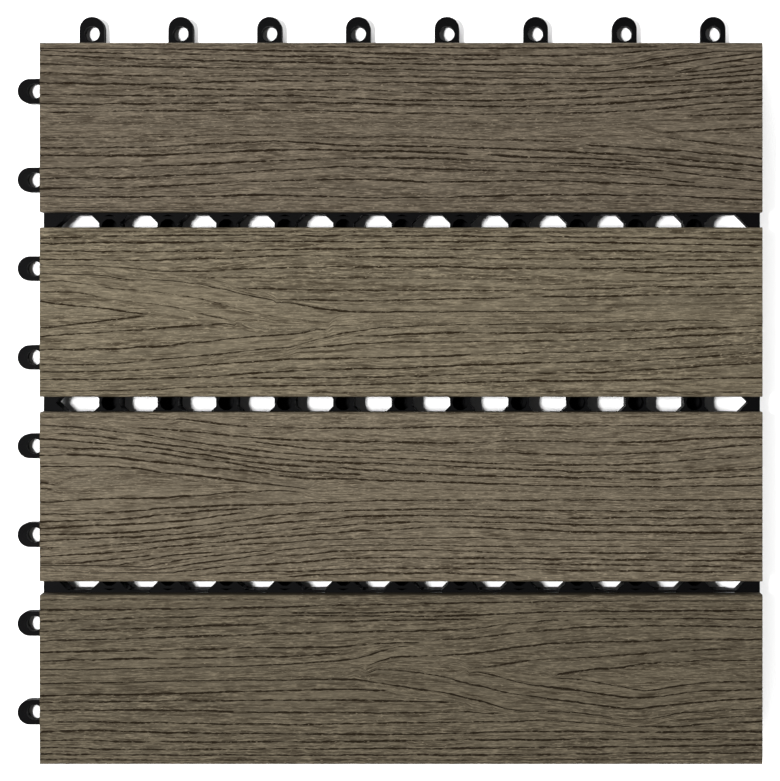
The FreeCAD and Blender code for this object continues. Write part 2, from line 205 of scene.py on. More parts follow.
# The embossed grain. Each line is (how deep it is cut, then points along it): x in millimetres from the
# middle of the tile, y in millimetres down from the slat's upper edge.
GRAIN_LINES = {
    "deck_slat_1": (
        (0.7, (-40, 1.6), (0, 1.9), (50, 2.3), (80, 2.1), (108, 1.6)),
        (0.9, (-150, 1.9), (-100, 2.6), (-50, 3.4), (0, 4.6), (85, 4.8), (110, 3.0), (128, 1.8)),
        (0.8, (-150, 3.4), (-100, 4.8), (-50, 5.5), (0, 6.6), (42, 7.0)),
        (1.0, (-150, 5.2), (-100, 7.0), (-50, 8.0), (0, 8.8), (50, 9.1), (92, 8.9), (107, 6.8), (133, 3.4),
         (150, 1.9)),
        (0.9, (-150, 9.0), (-100, 10.2), (-50, 10.8), (0, 11.1), (50, 12.2), (85, 12.1), (100, 10.3),
         (118, 8.0), (150, 3.6)),
        (1.0, (113, 12.3), (121, 10.5), (135, 8.2), (150, 6.0)),
        (1.0, (113, 12.9), (126, 11.7), (150, 8.4)),
        (0.8, (-150, 12.6), (-100, 13.8), (-50, 13.8), (0, 14.1), (50, 14.8), (100, 14.4), (125, 13.3),
         (150, 10.9)),
        (1.0, (-150, 16.7), (-110, 17.3), (-70, 16.0), (-50, 15.9), (0, 16.7), (50, 17.4), (95, 16.7),
         (120, 15.2), (150, 13.2)),
        (0.9, (-106, 18.6), (-80, 19.4), (-50, 19.7), (-10, 20.0), (0, 20.6), (50, 20.9), (95, 18.9),
         (125, 17.2), (150, 15.8)),
        (1.0, (-150, 21.6), (-100, 22.2), (-50, 22.2), (0, 23.8), (50, 23.9), (100, 21.8), (150, 18.6)),
        (1.0, (-150, 25.3), (-100, 25.4), (-50, 24.9), (0, 25.6), (50, 26.6), (100, 24.5), (125, 22.6),
         (150, 21.2)),
        (1.0, (-147, 29.0), (-100, 28.4), (-50, 28.2), (0, 29.3), (50, 29.5), (100, 28.0), (120, 26.1),
         (150, 23.8)),
        (0.9, (124, 28.5), (135, 27.4), (150, 26.4)),
        (0.8, (118, 30.3), (135, 30.0), (150, 29.4)),
        (0.35, (-150, 34.0), (-100, 33.2), (-50, 33.2), (0, 33.0), (50, 33.2), (100, 32.4), (150, 31.8)),
        (0.8, (106, 37.6), (118, 37.0), (130, 36.1), (150, 35.0)),
        (0.8, (104, 38.8), (110, 39.6), (125, 41.2), (150, 44.0)),
        (0.55, (-150, 39.6), (-100, 39.0), (-60, 38.3), (-30, 39.3), (0, 39.4), (50, 40.6), (72, 41.4)),
        (1.0, (76, 42.6), (100, 43.8), (115, 45.0), (150, 48.2)),
        (1.0, (-150, 43.7), (-100, 43.3), (-45, 41.2), (-30, 42.3), (0, 43.0), (50, 44.3), (85, 46.1),
         (120, 48.9), (150, 51.4)),
        (1.0, (-150, 46.9), (-100, 46.6), (-50, 44.6), (0, 45.3), (50, 47.3), (85, 48.6), (120, 51.2),
         (150, 53.8)),
        (1.0, (-150, 52.4), (-100, 51.2), (-50, 48.8), (-10, 47.8), (50, 49.6), (101, 50.6)),
        (0.9, (60, 50.6), (80, 51.4), (105, 53.0), (125, 55.0), (150, 57.6)),
        (1.0, (-150, 56.6), (-100, 55.6), (-50, 52.9), (-20, 51.6), (0, 52.2), (50, 53.6), (90, 54.6),
         (123, 58.2)),
        (1.0, (-150, 60.7), (-100, 59.7), (-50, 57.3), (-10, 56.8), (10, 57.8), (50, 57.3), (105, 58.9),
         (130, 60.2), (150, 61.6)),
        (1.0, (-150, 64.1), (-100, 64.0), (-50, 63.4), (0, 64.4), (50, 63.5), (100, 63.4), (150, 65.2)),
        (0.4, (-50, 65.6), (50, 65.8), (120, 65.9), (150, 67.3)),
        (0.5, (-150, 68.5), (-80, 68.6)),
    ),
    "deck_slat_2": (
        (0.5, (-150, 1.9), (-100, 1.8), (50, 1.9), (100, 2.0), (150, 2.7)),
        (1.0, (-150, 4.4), (-95, 3.3), (-50, 3.4), (0, 3.6), (50, 3.9), (100, 4.3), (150, 4.9)),
        (1.0, (-150, 6.7), (-100, 6.2), (-50, 5.9), (0, 6.0), (50, 6.1), (100, 6.7), (150, 7.6)),
        (0.9, (-150, 9.8), (-100, 10.2), (-50, 9.4), (-20, 8.8), (0, 8.8), (50, 9.5), (100, 9.9),
         (150, 10.4)),
        (0.9, (-150, 13.4), (-100, 13.6), (-50, 12.0), (0, 12.4), (50, 13.0), (100, 13.4), (150, 13.7)),
        (0.9, (-150, 15.4), (-120, 16.4), (-105, 17.8), (-50, 16.9), (0, 16.2), (50, 17.0), (90, 17.0),
         (120, 16.2), (150, 16.0)),
        (1.0, (91, 18.0), (115, 19.2), (150, 19.0)),
        (0.5, (-88, 20.8), (-50, 21.0), (0, 21.1), (50, 21.9), (100, 22.2), (125, 21.6), (150, 21.4)),
        (0.7, (-70, 25.0), (-50, 25.8), (0, 26.1), (50, 26.0), (100, 24.9), (150, 24.6)),
        (0.9, (-52, 30.0), (-20, 30.5), (0, 30.4), (20, 29.8), (50, 29.1), (100, 28.2), (150, 27.6)),
        (0.35, (40, 33.0), (100, 32.2), (150, 31.6)),
        (1.0, (-150, 19.0), (-140, 18.4), (-125, 19.6), (-112, 21.8), (-98, 21.5), (-90, 21.9), (-75, 25.6),
         (-60, 28.8), (-50, 30.9), (-40, 32.5), (-25, 34.6), (0, 35.0), (50, 35.0), (90, 34.6)),
        (0.6, (-150, 22.6), (-138, 22.4), (-130, 23.6), (-120, 25.2), (-100, 27.0), (-85, 29.4), (-72, 32.6),
         (-60, 35.8), (-45, 37.9), (-30, 39.6)),
        (0.6, (-150, 26.9), (-133, 27.4), (-120, 29.9), (-98, 32.6), (-80, 36.4), (-69, 38.8)),
        (0.9, (-150, 30.6), (-140, 32.0), (-125, 33.4), (-112, 35.2), (-104, 36.0)),
        (1.0, (-150, 41.7), (-135, 40.4), (-120, 38.6), (-105, 36.6)),
        (0.9, (-150, 45.3), (-130, 44.0), (-110, 42.6), (-90, 41.2), (-75, 40.2), (-67, 39.4)),
        (1.0, (-150, 50.8), (-115, 50.2), (-100, 49.3), (-80, 47.2), (-60, 45.2), (-45, 44.2), (-36, 42.8),
         (-30, 40.3)),
        (0.9, (-150, 56.9), (-120, 56.6), (-100, 55.0), (-80, 53.0), (-60, 50.8), (-45, 49.3), (-35, 46.8),
         (-25, 44.2), (-10, 42.0), (0, 41.2), (15, 40.5), (50, 40.0), (100, 39.1), (132, 38.4)),
        (0.9, (-20, 45.4), (0, 44.3), (50, 43.9), (80, 43.4), (100, 42.6), (125, 42.0), (150, 40.8)),
        (0.9, (-44, 50.6), (-30, 49.2), (-10, 47.9), (20, 47.4), (50, 47.1), (100, 46.1), (125, 44.8),
         (150, 43.5)),
        (1.0, (-150, 59.9), (-120, 59.6), (-100, 58.6), (-80, 57.0), (-50, 55.0), (-20, 54.4), (0, 53.9),
         (50, 52.4), (100, 50.8), (125, 49.6), (150, 48.0)),
        (1.0, (-150, 63.2), (-110, 62.8), (-80, 61.9), (-50, 59.8), (-20, 58.8), (0, 58.4), (50, 56.4),
         (100, 55.1), (150, 52.1)),
        (1.0, (-70, 62.8), (-50, 62.6), (0, 61.9), (50, 60.5), (80, 60.2), (100, 59.2), (150, 56.3)),
        (0.9, (-150, 68.0), (-120, 67.8), (-85, 66.5), (-50, 65.9), (0, 65.1), (50, 64.0), (100, 63.3),
         (150, 62.4)),
        (0.5, (-40, 68.7), (0, 68.6), (50, 68.4), (100, 68.2), (150, 68.6)),
    ),
    "deck_slat_3": (
        (0.5, (-150, 2.0), (-120, 2.2), (-95, 3.0)),
        (0.8, (-95, 2.6), (-70, 5.3), (-50, 6.4), (0, 6.5), (50, 5.8), (100, 5.8), (150, 5.4)),
        (0.9, (-110, 6.2), (-85, 8.2), (-60, 10.8), (-40, 11.8), (-20, 12.3), (0, 12.5), (20, 12.7),
         (50, 12.0), (80, 12.4), (110, 12.2), (125, 11.0), (150, 10.4)),
        (0.9, (-62, 12.1), (-50, 13.6), (-40, 15.0), (-30, 15.6), (0, 15.9), (20, 16.5), (50, 17.0),
         (75, 18.0), (90, 17.6), (110, 16.5), (130, 14.8), (150, 13.6)),
        (0.9, (-150, 5.3), (-128, 6.9), (-100, 10.2), (-80, 13.4), (-70, 14.6), (-50, 17.1), (-20, 18.7),
         (0, 19.5), (30, 20.8), (50, 21.6), (70, 22.0), (100, 21.4), (120, 20.0), (142, 18.6)),
        (1.0, (-144, 8.6), (-120, 10.8), (-100, 13.2), (-85, 15.1), (-60, 18.3), (-50, 19.4), (-30, 20.6),
         (0, 21.7), (40, 23.3), (80, 24.8), (110, 25.0), (125, 24.8), (150, 23.1)),
        (1.0, (-150, 11.2), (-120, 13.3), (-95, 15.8), (-80, 18.1), (-60, 20.8), (-50, 22.0), (-30, 22.8),
         (-10, 24.4), (10, 25.6), (50, 26.8), (80, 27.4), (100, 28.0), (120, 27.4), (150, 26.3)),
        (1.0, (-150, 14.6), (-130, 15.2), (-110, 16.4), (-85, 19.3), (-62, 22.6), (-50, 24.4), (-30, 25.2),
         (-15, 26.2)),
        (1.0, (-150, 17.8), (-125, 18.1), (-105, 20.3), (-85, 22.4), (-60, 25.0), (-50, 26.5), (-15, 28.0),
         (20, 29.2), (50, 30.1), (80, 30.8), (100, 31.0), (125, 30.8), (150, 30.3)),
        (1.0, (-150, 22.6), (-130, 22.5), (-118, 22.7), (-95, 25.5), (-70, 28.3), (-50, 30.7), (-38, 31.9)),
        (0.8, (-150, 29.3), (-146, 29.6), (-142, 30.6)),
        (0.7, (-150, 31.7), (-143, 31.8)),
        (1.0, (-150, 37.5), (-130, 36.4), (-100, 35.4), (-85, 34.7), (-70, 33.3), (-55, 32.7), (-41, 32.6)),
        (1.0, (-150, 42.5), (-130, 42.2), (-115, 41.3), (-100, 40.1), (-80, 39.1), (-65, 38.5), (-40, 37.8),
         (0, 36.6), (50, 36.5), (92, 36.4), (150, 36.3)),
        (1.0, (-150, 45.5), (-130, 45.1), (-115, 44.3), (-100, 42.8), (-85, 41.4), (-72, 40.4), (-62, 39.7)),
        (0.9, (-150, 48.3), (-130, 47.3), (-100, 45.8), (-85, 44.6), (-75, 43.0), (-64, 41.8)),
        (1.0, (-150, 51.0), (-130, 50.6), (-110, 49.5), (-95, 48.2), (-80, 46.8), (-65, 44.8), (-50, 42.4),
         (-35, 41.4), (-15, 40.8), (0, 40.5), (30, 40.3), (50, 40.8), (100, 41.0), (150, 40.9)),
        (1.0, (-150, 53.8), (-130, 52.6), (-100, 51.2), (-85, 49.8), (-70, 47.8), (-50, 46.0), (-35, 44.8),
         (-20, 43.6), (0, 43.0), (20, 43.1), (50, 43.8), (100, 43.9), (150, 44.1)),
        (0.9, (-150, 56.6), (-110, 54.5), (-90, 52.5), (-60, 50.2), (-35, 47.8), (-15, 46.4), (0, 45.8),
         (20, 45.4), (50, 46.0), (80, 46.8), (150, 46.6)),
        (1.0, (-150, 60.0), (-115, 57.8), (-85, 54.8), (-50, 51.6), (-15, 49.2), (0, 48.6), (20, 47.8),
         (35, 48.1), (60, 49.3), (100, 49.8), (150, 50.1)),
        (0.9, (-90, 56.8), (-75, 55.4), (-50, 54.3), (-35, 53.1), (-18, 52.4), (0, 52.3), (30, 52.2),
         (50, 52.8), (100, 53.1), (130, 52.8), (150, 52.1)),
        (0.9, (-150, 63.0), (-135, 62.5), (-120, 61.3), (-103, 59.3)),
        (1.0, (-150, 67.6), (-135, 66.6), (-128, 65.6), (-115, 63.0), (-105, 61.0), (-90, 58.8),
         (-77, 58.0)),
        (1.0, (-127, 67.0), (-110, 65.2), (-100, 62.8), (-88, 60.8), (-70, 58.7), (-54, 57.2)),
        (0.9, (-54, 57.6), (-42, 56.6), (-30, 55.6), (-15, 55.1), (22, 55.4), (50, 55.7), (100, 55.6),
         (150, 55.7)),
        (1.0, (-113, 66.9), (-100, 65.4), (-85, 63.0), (-70, 61.0), (-60, 59.6), (-52, 58.4)),
        (0.9, (-50, 59.8), (-40, 59.0), (-30, 58.1), (-15, 57.6), (0, 57.3), (30, 57.8), (50, 58.3),
         (100, 58.5), (150, 58.8)),
        (1.0, (-135, 68.6), (-115, 68.1), (-95, 66.6), (-75, 64.3), (-50, 62.8), (-40, 62.1), (-30, 61.1),
         (-10, 60.6), (8, 60.5), (50, 60.9), (100, 61.3), (150, 61.8)),
        (0.8, (20, 62.8), (50, 63.0), (80, 63.4), (100, 63.6), (130, 64.1), (150, 64.6)),
        (0.9, (-90, 68.6), (-70, 66.8), (-50, 66.2), (-35, 65.6), (-20, 64.9), (16, 64.8), (50, 65.3),
         (100, 66.0), (150, 66.4)),
        (0.8, (-48, 68.6), (-35, 67.6), (-20, 67.0), (0, 66.8), (30, 67.1), (50, 67.8)),
    ),
    "deck_slat_4": (
        (0.5, (-150, 2.1), (-100, 1.8), (-50, 1.8)),
        (0.9, (-150, 6.3), (-100, 5.8), (-50, 4.9), (0, 3.8), (50, 2.8), (100, 2.4), (150, 1.9)),
        (1.0, (-46, 7.6), (0, 7.2), (28, 7.0)),
        (1.0, (-150, 10.9), (-100, 9.3), (-50, 8.6), (0, 8.8), (30, 8.4), (50, 7.4), (100, 6.6), (150, 6.4)),
        (1.0, (-150, 14.9), (-100, 13.6), (-50, 11.8), (0, 10.4), (32, 10.0)),
        (0.9, (-150, 19.2), (-100, 17.7), (-50, 16.1), (-10, 15.2), (15, 14.8), (30, 13.9), (50, 11.4),
         (80, 10.1), (150, 10.2)),
        (0.8, (12, 19.0), (28, 18.0), (50, 15.6), (75, 13.6), (100, 12.9), (150, 13.6)),
        (1.0, (-150, 24.0), (-100, 22.8), (-50, 21.8), (-25, 21.4), (-5, 20.0), (8, 19.7)),
        (1.0, (-150, 27.5), (-100, 26.2), (-50, 25.4), (-25, 24.4)),
        (1.0, (-150, 31.2), (-100, 30.2), (-50, 29.0), (-30, 27.5), (-15, 25.4), (-5, 22.6), (4, 20.4)),
        (0.9, (-15, 29.9), (-8, 27.3), (-4, 26.2), (5, 25.3), (25, 24.5), (35, 23.6), (50, 21.4),
         (100, 19.0), (120, 18.4), (150, 18.4)),
        (0.7, (28, 30.4), (38, 29.6), (50, 27.6), (80, 25.7), (100, 24.3), (130, 22.7), (150, 22.3)),
        (1.0, (63, 33.2), (70, 32.0), (80, 30.7), (90, 30.2), (100, 28.8), (115, 27.7), (150, 26.8)),
        (1.0, (61, 34.2), (75, 35.3), (90, 37.8), (103, 39.6), (112, 38.4), (125, 36.6), (150, 36.0)),
        (1.0, (26, 31.0), (35, 32.6), (50, 36.4), (65, 38.6), (85, 41.4), (95, 42.9), (105, 42.4),
         (120, 40.4), (150, 39.3)),
        (1.0, (-15, 30.2), (0, 31.4), (15, 33.4), (30, 37.2), (45, 40.8), (60, 43.0), (80, 45.4), (97, 47.5),
         (108, 46.0), (120, 44.8), (150, 42.6)),
        (1.0, (-150, 36.9), (-100, 35.8), (-50, 35.3), (-20, 35.2), (-10, 36.4), (5, 38.6), (20, 41.0),
         (32, 43.8), (45, 47.5), (65, 48.4), (80, 49.8), (95, 51.4), (105, 51.0), (115, 49.2), (130, 48.2),
         (150, 47.0)),
        (1.0, (-150, 41.8), (-100, 41.0), (-50, 39.7), (-25, 39.2), (-5, 39.6)),
        (1.0, (-150, 44.7), (-100, 44.0), (-50, 43.6), (-25, 43.5), (0, 44.0), (27, 44.8)),
        (0.9, (-150, 47.9), (-100, 47.9), (-50, 48.7), (0, 48.8), (25, 48.6), (42, 49.2)),
        (0.8, (113, 51.6), (130, 51.2), (150, 50.0)),
        (1.0, (-144, 52.6), (-100, 53.0), (-50, 53.7), (0, 53.0), (30, 52.8), (50, 52.4), (65, 52.2),
         (80, 53.4), (100, 54.4), (115, 54.4), (130, 53.2), (150, 52.4)),
        (1.0, (-150, 56.9), (-125, 56.3), (-100, 57.0), (-50, 57.6), (0, 57.9), (50, 56.7), (100, 56.7),
         (150, 56.8)),
        (1.0, (-150, 60.3), (-100, 60.9), (-50, 61.0), (0, 60.5), (50, 60.0), (150, 60.0)),
        (0.9, (-150, 63.3), (-100, 64.3), (-50, 63.8), (0, 63.9), (50, 63.3), (100, 63.0), (150, 62.4)),
        (0.9, (-150, 66.0), (-100, 66.4), (0, 66.4), (50, 66.4), (100, 65.6), (150, 65.6)),
        (0.5, (-150, 68.2), (-100, 68.6), (50, 68.6), (100, 68.0), (150, 68.3)),
    ),
}

# How the grain is cut, in millimetres where it is a length. Widths are half widths, from a line's middle.
GRAIN_COLUMNS = 361
ROWS_BETWEEN = 1
ROWS_PER_LINE = ROWS_BETWEEN + 7
LINE_SPREAD = 0.62
LINE_MARGIN = 0.01
GROOVE_DEPTH = 0.42
GROOVE_FLOOR = 0.23
GROOVE_MOUTH = 0.45
BURR_WIDTH = 0.16
BURR_RISE = 0.07
TOP_RELIEF = 0.08
FINE_ROUGHNESS = 0.045
BROAD_ROUGHNESS = 0.035
SLOW_WAVER = 0.22
SLOW_LENGTH = 9.0
QUICK_WAVER = 0.10
QUICK_LENGTH = 2.1
WAVE_LENGTH = 16.0
DASH_LENGTH = 4.2
RAGGED_LENGTH = 1.5
TORN_LENGTH = 1.2
DASH_SHARE = 0.38
MOUTH_LIMIT = 0.34
FLOOR_LIMIT = 0.18
CLEAR_LIMIT = 0.45
FLOOR_SHARE = 0.9
WIDE_SPREAD = 1.25
LEAST_SPREAD = 0.3
SLAT_END = 149.0
END_FADE = 2.5
EDGE_RADIUS = 1.2
EDGE_TURNS = 5
PATH_STIFFNESS = 30.0
RELAXING_STEPS = 1500
DRIFT_CELLS = 97


def drift(x, y, cell_x, cell_y, seed):
    """Smooth seeded noise from -1 to 1 over cells of the given size."""
    table = np.random.RandomState(seed).uniform(-1.0, 1.0, (DRIFT_CELLS, DRIFT_CELLS))
    across = x / cell_x + DRIFT_CELLS // 2
    along = y / cell_y + DRIFT_CELLS // 2
    column = np.floor(across).astype(int)
    row = np.floor(along).astype(int)
    share_x = across - column
    share_y = along - row
    share_x = share_x * share_x * (3.0 - 2.0 * share_x)
    share_y = share_y * share_y * (3.0 - 2.0 * share_y)
    left = column % DRIFT_CELLS
    right = (column + 1) % DRIFT_CELLS
    near = row % DRIFT_CELLS
    far = (row + 1) % DRIFT_CELLS
    low = table[near, left] * (1 - share_x) + table[near, right] * share_x
    high = table[far, left] * (1 - share_x) + table[far, right] * share_x
    return low * (1 - share_y) + high * share_y


def smooth_path(points, x):
    """A smooth curve through points, read at x."""
    places, heights = np.array(points, float).T
    slopes = np.gradient(heights, places)
    at = np.clip(np.searchsorted(places, x) - 1, 0, len(places) - 2)
    span = places[at + 1] - places[at]
    share = np.clip((x - places[at]) / span, 0.0, 1.0)
    rise = heights[at + 1] - heights[at]
    first = slopes[at] * span - rise
    second = -slopes[at + 1] * span + rise
    ease = share * (1.0 - share)
    return heights[at] + share * rise + ease * (first * (1.0 - share) + second * share)


def grain_paths(lines, x, width, seed):
    """The y of every grain line at every x, and how strongly it is cut there.

    Where a line isn't cut, its path is relaxed between its neighbours, so that the lines never cross.
    """
    count = len(lines)
    paths = np.full((count + 2, len(x)), np.nan)
    paths[0] = 0.0
    paths[-1] = width
    strength = np.zeros((count + 2, len(x)))
    for index, (deep, *points) in enumerate(lines, start=1):
        inside = (x >= points[0][0] - LINE_MARGIN) & (x <= points[-1][0] + LINE_MARGIN)
        here = np.full_like(x, index * 3.0)
        waver = SLOW_WAVER * drift(x, here, SLOW_LENGTH, 1.0, seed)
        waver = waver + QUICK_WAVER * drift(x, here, QUICK_LENGTH, 1.0, seed + 1)
        paths[index, inside] = (smooth_path(points, x) + waver)[inside]
        to_start = np.where(points[0][0] <= -SLAT_END, END_FADE, x - points[0][0])
        to_end = np.where(points[-1][0] >= SLAT_END, END_FADE, points[-1][0] - x)
        fade = np.clip(np.minimum(to_start, to_end) / END_FADE, 0.0, 1.0)
        strength[index] = deep * fade * inside
    known = ~np.isnan(paths)
    for column in range(len(x)):
        fixed = np.flatnonzero(known[:, column])
        paths[:, column] = np.interp(np.arange(count + 2), fixed, paths[fixed, column])
    for _ in range(RELAXING_STEPS):
        left = np.concatenate((paths[:, :1], paths[:, :-1]), axis=1)
        right = np.concatenate((paths[:, 1:], paths[:, -1:]), axis=1)
        relaxed = paths[:-2] + paths[2:] + PATH_STIFFNESS * (left + right)[1:-1]
        relaxed = relaxed / (2.0 + 2.0 * PATH_STIFFNESS)
        paths[1:-1] = np.where(known[1:-1], paths[1:-1], relaxed)
    paths[1] = np.maximum(paths[1], EDGE_RADIUS + LINE_SPREAD)
    for index in range(2, count + 1):
        paths[index] = np.maximum(paths[index], paths[index - 1] + LINE_SPREAD)
    paths[count] = np.minimum(paths[count], width - EDGE_RADIUS - LINE_SPREAD)
    for index in range(count - 1, 0, -1):
        paths[index] = np.minimum(paths[index], paths[index + 1] - LINE_SPREAD)
    return paths, strength


def edge_row(level, turn, width):
    """One row of a long edge's rounding: the first edge's or, given the width, the last edge's."""
    angle = math.pi / 2 * turn / EDGE_TURNS
    y = EDGE_RADIUS * (1.0 - math.cos(angle))
    drop = EDGE_RADIUS * (1.0 - math.sin(angle))
    if width:
        y = width - y
    return level + y, level + drop, level, level, level + y


def rows_between(level, previous, following, fibre, next_fibre):
    """The plain rows between two lines."""
    rows = []
    for step in range(1, ROWS_BETWEEN + 1):
        share = step / (ROWS_BETWEEN + 1)
        rows.append((previous + (following - previous) * share, level, level, level,
                     level + fibre + (next_fibre - fibre) * share))
    return rows


def grain_rows(name, x, width, seed):
    """Rows of points across a slat that follow its grain lines.

    Each row has its y, its depth, how strongly it is cut, how much of a burr it has, and a fibre number,
    which stays the same along the grain.
    """
    paths, strength = grain_paths(GRAIN_LINES[name], x, width, seed)
    count = len(paths) - 2
    usual = paths.mean(axis=1)
    level = np.zeros_like(x)
    rows = [edge_row(level, turn, 0.0) for turn in range(EDGE_TURNS + 1)]
    previous = level + EDGE_RADIUS
    fibre = EDGE_RADIUS
    for index in range(1, count + 1):
        line = paths[index]
        gap = np.minimum(line - paths[index - 1], paths[index + 1] - line)
        here = level + index * 5.0
        long_wave = drift(x, here, WAVE_LENGTH, 1.0, seed + 2)
        dashes = drift(x, here, DASH_LENGTH, 1.0, seed + 3)
        ragged = drift(x, here, RAGGED_LENGTH, 1.0, seed + 4)
        shape = 0.92 + 0.20 * long_wave + 0.85 * np.minimum(dashes + DASH_SHARE, 0.0) + 0.28 * ragged
        cut = strength[index] * np.clip(shape, 0.0, 1.1)
        wide = np.clip(0.82 + 0.30 * long_wave + 0.24 * dashes + 0.30 * ragged, 0.3, 1.4)
        mouth = np.minimum(GROOVE_MOUTH * wide, MOUTH_LIMIT * gap)
        floor = np.minimum(GROOVE_FLOOR * wide, FLOOR_LIMIT * gap)
        clear = np.minimum(mouth + BURR_WIDTH, CLEAR_LIMIT * gap)
        rows += rows_between(level, previous, line - clear, fibre, usual[index])
        for side, offset, share in ((-1.0, clear, 0.0), (-1.0, mouth, 0.0), (-1.0, floor, FLOOR_SHARE),
                                    (1.0, level, 1.0), (1.0, floor, FLOOR_SHARE), (1.0, mouth, 0.0),
                                    (1.0, clear, 0.0)):
            burr = level
            if offset is mouth:
                torn_and_highlight = drift(x, here, TORN_LENGTH, 1.0, seed + (7 if side < 0 else 8))
                burr = np.clip(torn_and_highlight * 3.0 - 1.3, 0.0, 1.0) * np.minimum(cut * 1.5, 1.0)
            rows.append((line + side * offset, GROOVE_DEPTH * cut * share, cut * share, burr,
                         usual[index] + side * offset))
        previous = line + clear
        fibre = usual[index]
    last = width - EDGE_RADIUS
    rows += rows_between(level, previous, last, fibre, last)
    rows += [edge_row(level, turn, width) for turn in range(EDGE_TURNS, -1, -1)]
    return [np.array(kind) for kind in zip(*rows)]


def make_slat(name, seed):
    """One board: a grid whose rows follow the grain, cut along it and rounded at its long edges."""
    low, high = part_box(name)
    middle = (low + high) / 2
    length = high.x - low.x
    width = high.y - low.y
    x = np.linspace(-length / 2, length / 2, GRAIN_COLUMNS) / MM
    y, depth, cut, burr, fibre = grain_rows(name, x, width / MM, seed)
    count = len(y)
    deselect()
    bpy.ops.mesh.primitive_grid_add(x_subdivisions=GRAIN_COLUMNS - 1, y_subdivisions=count - 1, size=1.0,
                                    location=(middle.x, middle.y, high.z))
    slat = bpy.context.object
    slat.name = name + "_board"
    settle(slat)
    mesh = slat.data
    points = np.zeros(len(mesh.vertices) * 3)
    mesh.vertices.foreach_get("co", points)
    points = points.reshape(-1, 3)
    column = np.rint((points[:, 0] - middle.x + 0.5) * (GRAIN_COLUMNS - 1)).astype(int)
    row = np.rint((middle.y + 0.5 - points[:, 1]) * (count - 1)).astype(int)
    above = np.maximum(np.arange(count) - ROWS_PER_LINE // 2, 0)
    below = np.minimum(np.arange(count) + ROWS_PER_LINE // 2, count - 1)
    spread = (y[below] - y[above]) / np.maximum(fibre[below] - fibre[above], LEAST_SPREAD)
    wide = np.clip(spread - WIDE_SPREAD, 0.0, 1.0)
    rough = FINE_ROUGHNESS * drift(x[column], y[row, column], 1.6, 0.5, seed + 5)
    rough = rough + BROAD_ROUGHNESS * drift(x[column], y[row, column], 7.0, 0.9, seed + 6)
    sunk = depth[row, column] + TOP_RELIEF + rough - BURR_RISE * burr[row, column]
    points[:, 0] = middle.x + x[column] * MM
    points[:, 1] = high.y - y[row, column] * MM
    points[:, 2] = high.z - np.maximum(sunk, 0.0) * MM
    mesh.vertices.foreach_set("co", points.ravel())
    mesh.update()
    for key, values in (("grain_cut", cut), ("grain_burr", burr), ("grain_fibre", fibre),
                        ("grain_wide", wide)):
        mesh.attributes.new(key, "FLOAT", "POINT").data.foreach_set("value", values[row, column])
    activate(slat)
    bpy.ops.object.mode_set(mode="EDIT")
    bpy.ops.mesh.select_all(action="DESELECT")
    bpy.ops.mesh.select_mode(type="EDGE")
    bpy.ops.mesh.select_non_manifold(extend=False, use_boundary=True)
    bpy.ops.mesh.extrude_edges_move()
    bpy.ops.transform.resize(value=(1.0, 1.0, 0.0), center_override=(middle.x, middle.y, low.z))
    bpy.ops.mesh.edge_face_add()
    bpy.ops.mesh.select_all(action="SELECT")
    bpy.ops.mesh.normals_make_consistent(inside=False)
    bpy.ops.object.mode_set(mode="OBJECT")
    bpy.ops.object.shade_smooth_by_angle(angle=math.radians(50.0))
    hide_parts(name)
    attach(slat, "root")
    return slat


# The base's small features that show through the slats' gaps, then the screws' sizes, in metres.
SOCKET_PITCH = 0.0245
SOCKETS_EACH_SIDE = 5
ROW_PITCH = 0.0735
SOCKET_FLOOR = 0.0016
SLIT_OFFSET = 0.00472
SLIT_LENGTH = 0.0050
SLIT_WIDTH = 0.0008
SLIT_CUTTER_HEIGHT = 0.03
TRIANGLE_WIDTH = 0.866
TRIANGLE_HEIGHT = 0.75
RING_OUTER = 0.00165
RING_INNER = 0.0011
RING_HEIGHT = 0.0005
SCREW_HEAD = 0.0068
SCREW_HEAD_HEIGHT = 0.0017
SCREW_SHANK = 0.0036
RECESS_WIDTH = 0.0011
RECESS_LENGTH = 0.0040
RECESS_DEPTH = 0.0010
HEAD_ROUNDING = 0.0006
HEAD_OVERLAP = 0.1
HEAD_SIDES = 32
SHANK_SIDES = 24
RING_SIDES = 20
NEAR = 0.0001
MERGE_DISTANCE = 0.000002


def socket_centres():
    return [(SOCKET_PITCH * along, ROW_PITCH * across) for across in (-1, 0, 1)
            for along in range(-SOCKETS_EACH_SIDE, SOCKETS_EACH_SIDE + 1)]


def joined(pieces, name):
    deselect()
    for piece in pieces:
        piece.select_set(True)
    bpy.context.view_layer.objects.active = pieces[0]
    bpy.ops.object.join()
    whole = bpy.context.object
    whole.name = name
    settle(whole)
    return whole


def cut_away(piece, cutter):
    """The cutter's space goes out of the piece, and the cutter with it."""
    activate(piece)
    modifier = piece.modifiers.new("cut", "BOOLEAN")
    modifier.operation = "DIFFERENCE"
    modifier.solver = "EXACT"
    modifier.object = cutter
    bpy.ops.object.modifier_apply(modifier=modifier.name)
    activate(cutter)
    bpy.ops.object.delete()
    activate(piece)


def prism(sides, place, width, depth, height, turn=0.0):
    """An upright prism with regular sides, stretched to a width, a depth and a height."""
    deselect()
    bpy.ops.mesh.primitive_cylinder_add(vertices=sides, radius=0.5, depth=1.0, location=place,
                                        rotation=(0.0, 0.0, turn))
    made = bpy.context.object
    bpy.ops.object.transform_apply(location=False, rotation=True, scale=False)
    made.scale = (width, depth, height)
    settle(made)
    return made


